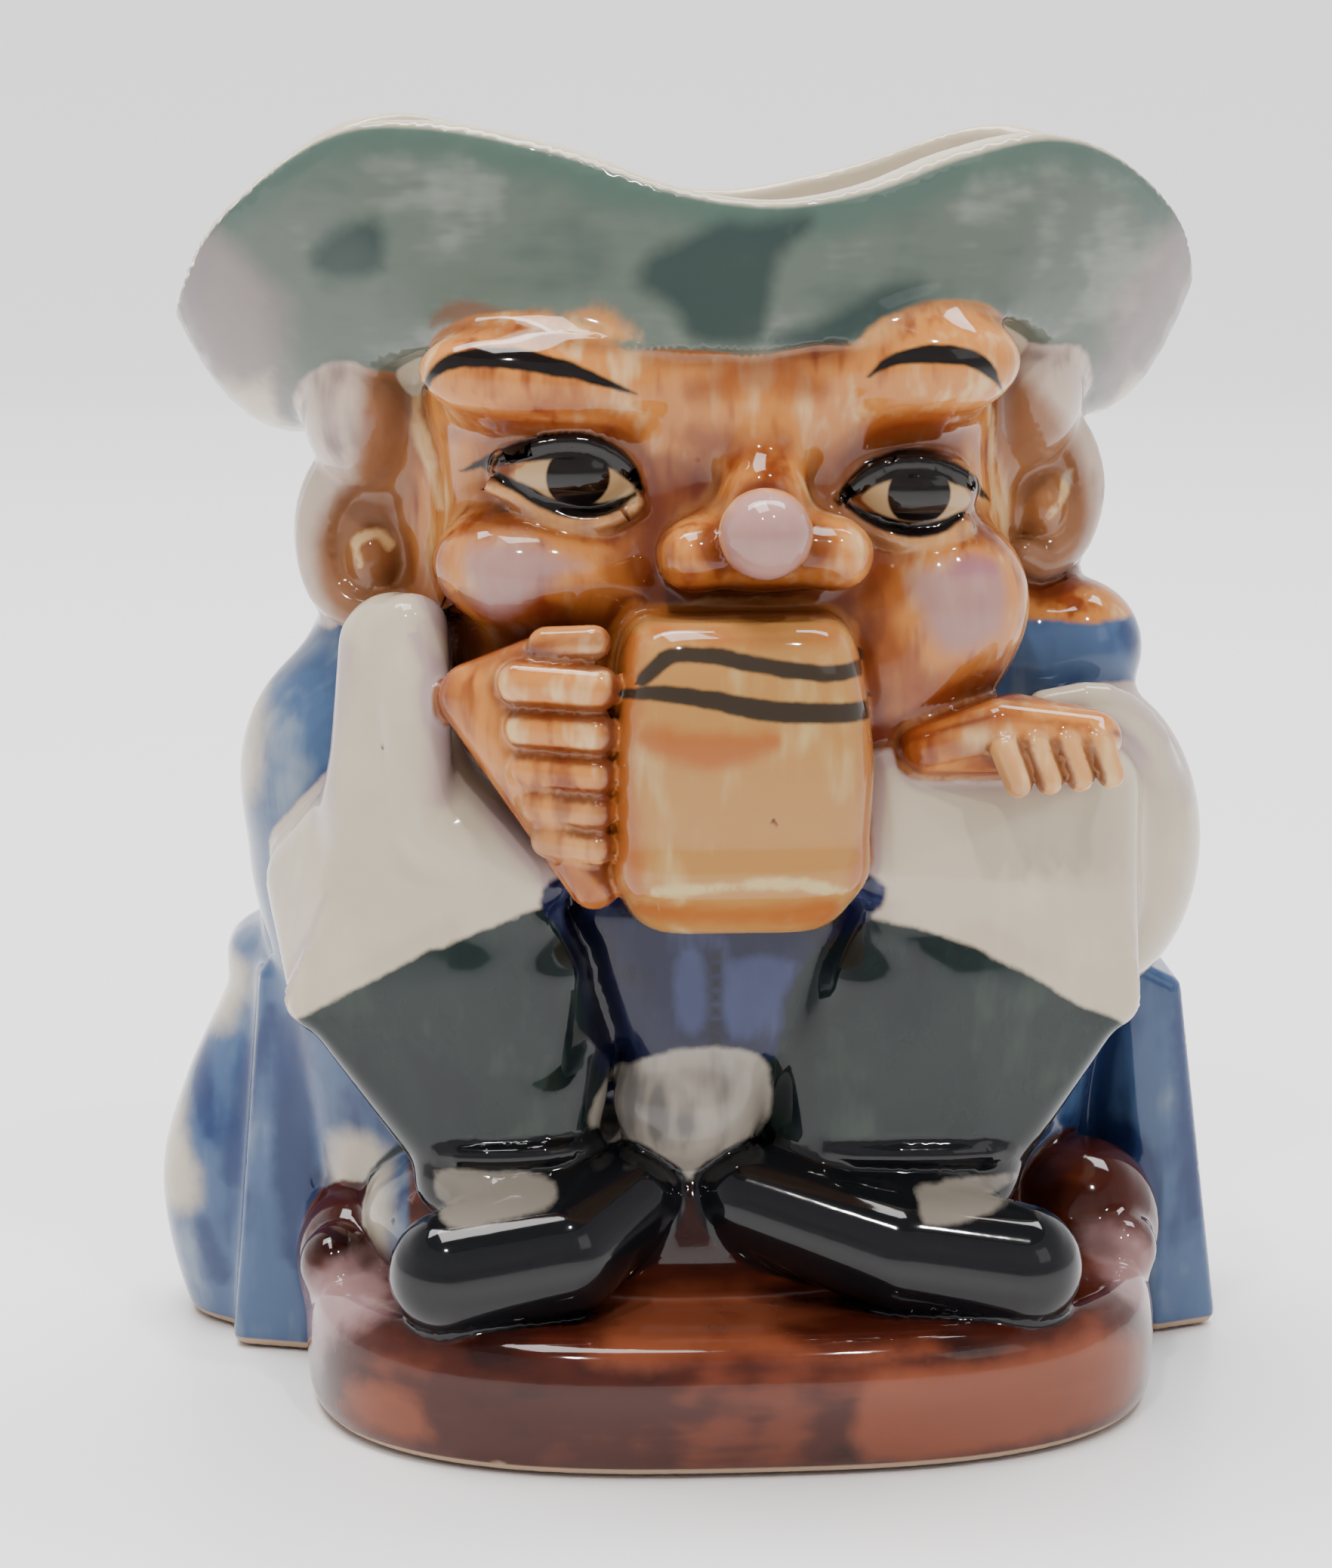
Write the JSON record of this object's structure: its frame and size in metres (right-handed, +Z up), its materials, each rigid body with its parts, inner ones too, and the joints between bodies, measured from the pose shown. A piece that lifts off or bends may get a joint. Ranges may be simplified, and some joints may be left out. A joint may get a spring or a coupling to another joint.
{
  "type": "toby jug",
  "caption": "Hollow glazed earthenware toby jug: a seated drinker with a mug on a rounded plinth, open at the cocked hat, with a loop handle at the back.",
  "frame": {"origin": "middle of the bounding box on the ground that the jug stands on", "axes": "+Z up through the hat, -Y the way the figure faces, +X to a viewer's right when facing it"},
  "size_m": [0.0704, 0.0644, 0.08],
  "materials": {
    "glazed_earthenware": "hand-painted underglaze colours on cream earthenware under a clear gloss glaze"
  },
  "bodies": {
    "root": {"toby_jug": "glazed_earthenware"}
  },
  "joints": []
}
